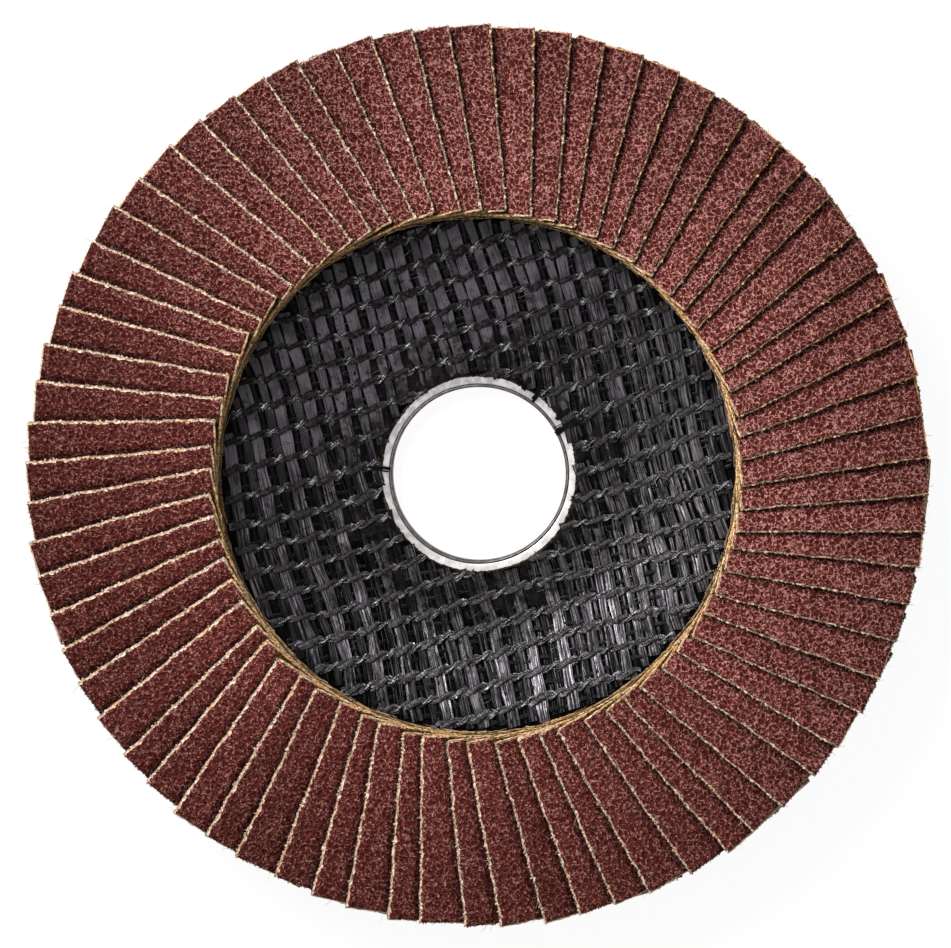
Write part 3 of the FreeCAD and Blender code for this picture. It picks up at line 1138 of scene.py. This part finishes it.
def make_flaps(materials):
    """All flaps in pairs, slid, shifted and turned by the same chances as in the model."""
    chance = random.Random(flap_seed)
    chosen = [[chance.uniform(-most, most) for most in (flap_slide, flap_shift, flap_yaw)]
              for _ in range(flap_count)]
    for first in range(0, flap_count, flaps_per_piece):
        shape = Shape()
        for number in range(first, first + flaps_per_piece):
            add_flap(shape, number, chosen[number], chosen[(number + 1) % flap_count])
        pair = first // flaps_per_piece + 1
        shape.build("cloth_flaps_%02d" % pair, materials, "abrasive_cloth", "flap_pair_%02d" % pair)


# Camera, lamps and floor

def aim(thing, target, distance, lean, azimuth):
    """Puts a camera or lamp at a distance from a target that it looks at, leaning from straight up."""
    away = Vector((math.sin(lean) * math.cos(azimuth), math.sin(lean) * math.sin(azimuth), math.cos(lean)))
    position = target + away * distance
    back = (position - target).normalized()
    right = Vector((0, 1, 0)).cross(back).normalized()
    turn = Matrix((right, back.cross(right), back)).transposed()
    thing.matrix_world = Matrix.Translation(position) @ turn.to_4x4()


def make_camera():
    data = bpy.data.cameras.new("photo_camera")
    data.sensor_width = sensor_width
    data.lens = sensor_width * camera_distance / (picture_width / pixels_per_mm * metres)
    camera = bpy.data.objects.new("photo_camera", data)
    bpy.context.scene.collection.objects.link(camera)
    aim(camera, Vector((0, 0, rim_level)), camera_distance, camera_lean, camera_lean_direction)
    bpy.context.view_layer.update()
    right = camera.matrix_world.col[0].to_3d()
    above = camera.matrix_world.col[1].to_3d()
    across = (disc_centre_column - picture_width / 2) / pixels_per_mm * metres
    down = (disc_centre_row - picture_height / 2) / pixels_per_mm * metres
    camera.location = camera.location - right * across + above * down
    bpy.context.scene.camera = camera


def make_lamp():
    data = bpy.data.lights.new("key_lamp", "AREA")
    data.shape = "DISK"
    data.size = key_size
    data.energy = key_power
    lamp = bpy.data.objects.new("key_lamp", data)
    bpy.context.scene.collection.objects.link(lamp)
    aim(lamp, Vector((0, 0, 0)), key_distance, key_lean, key_direction)


def seen_directly(tree):
    """One for rays from the camera and for those in reflections or through glass."""
    rays = signal(tree, "LightPath", 0).socket.node.outputs
    either = Signal(rays["Is Camera Ray"]).larger(Signal(rays["Is Glossy Ray"]))
    return either.larger(Signal(rays["Is Transmission Ray"]))


def make_floor():
    half = floor_size / 2
    mesh = bpy.data.meshes.new("studio_floor")
    mesh.from_pydata([(-half, -half, 0), (half, -half, 0), (half, half, 0), (-half, half, 0)], [],
                     [(0, 1, 2, 3)])
    material = bpy.data.materials.new("white_floor")
    material.use_nodes = True
    tree = material.node_tree
    tree.nodes.remove(tree.nodes["Principled BSDF"])
    plain = signal(tree, "BsdfDiffuse", 0, {"Color": (bounce_albedo,) * 3})
    shaded = signal(tree, "BsdfDiffuse", 0, {"Color": (floor_albedo,) * 3})
    glow = signal(tree, "Emission", 0, {"Color": (1, 1, 1), "Strength": floor_glow})
    bright = signal(tree, "AddShader", 0, {0: shaded, 1: glow})
    chosen = signal(tree, "MixShader", 0, {0: seen_directly(tree), 1: plain, 2: bright})
    fill(tree.nodes["Material Output"].inputs["Surface"], chosen)
    mesh.materials.append(material)
    floor = bpy.data.objects.new("studio_floor", mesh)
    bpy.context.scene.collection.objects.link(floor)


def make_world():
    world = bpy.data.worlds.new("studio_world")
    world.use_nodes = True
    background = world.node_tree.nodes["Background"]
    fill(background.inputs["Color"], (1, 1, 1))
    fill(background.inputs["Strength"], seen_directly(world.node_tree).spread(fill_strength, 1.0))
    bpy.context.scene.world = world


bpy.context.scene.view_settings.view_transform = "Standard"
make_camera()
make_world()
make_floor()
make_lamp()

# The disc
make_plate([resin_material(), laminate_material()])
make_ring([metal_material(), groove_material(), lip_material()])
# Upper ribbons: painted light, brighter to the lower left.
upper_ribbon = ribbon_material("mesh_ribbon", 1.0, 0.24, ribbon_width / 2, lower_left_painted_level=1.36)
make_ribbons("mesh_ribbons", upper_ribbon,
             width=ribbon_width, base=0.18, thickness=0.14, phase=ribbon_phase, step=0.45, lines=15,
             seed=11, unevenness=0.07)
# The lower ribbons are a darker copy: painted shade for lying deeper.
lower_ribbon = ribbon_material("mesh_ribbon_below", 0.85, 0.28, under_width / 2, lower_left_painted_level=0.34)
make_ribbons("mesh_under_ribbons", lower_ribbon,
             width=under_width, base=0.1, thickness=0.16, phase=ribbon_phase - 1.62, step=0.6, lines=11,
             seed=12, unevenness=0.05)
# The deepest strands: darker still, painted shade, except on the lower right.
deep_strand = ribbon_material("mesh_deep", 0.75, 0.3, 0.3, shade_off_lower_right=0.12, lower_left_painted_level=0.25)
make_ribbons("mesh_deep_strands", deep_strand,
             width=0.5, base=0.03, thickness=0.12, phase=ribbon_phase + 1.28, step=0.6, lines=6,
             seed=15, unevenness=0.05)
row_strand = row_material()
make_rows(row_strand)
make_under_rows(row_strand)
make_loose_fibres(ribbon_material("mesh_fibre", 1.5, 0.3, 1.0))
make_crossing_strands(row_strand)
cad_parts["adhesive_ring"].data.materials.clear()
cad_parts["adhesive_ring"].data.materials.append(adhesive_material())
ochre_yarn = yarn_material("yarn_ochre", (0.15, 0.06, 0.016), (1.0, 0.69, 0.36), (0.82, 0.43, 0.15))
make_bed_fibres(ochre_yarn)
make_flaps([
    grain_material(),
    yarn_material("cut_cloth", (0.40, 0.20, 0.09), (1.0, 0.80, 0.56), (0.70, 0.40, 0.19)),
    ochre_yarn,
    cloth_back_material(),
    yarn_material("yarn_cream", (0.52, 0.29, 0.16), (0.97, 0.85, 0.72), (0.80, 0.50, 0.29)),
])
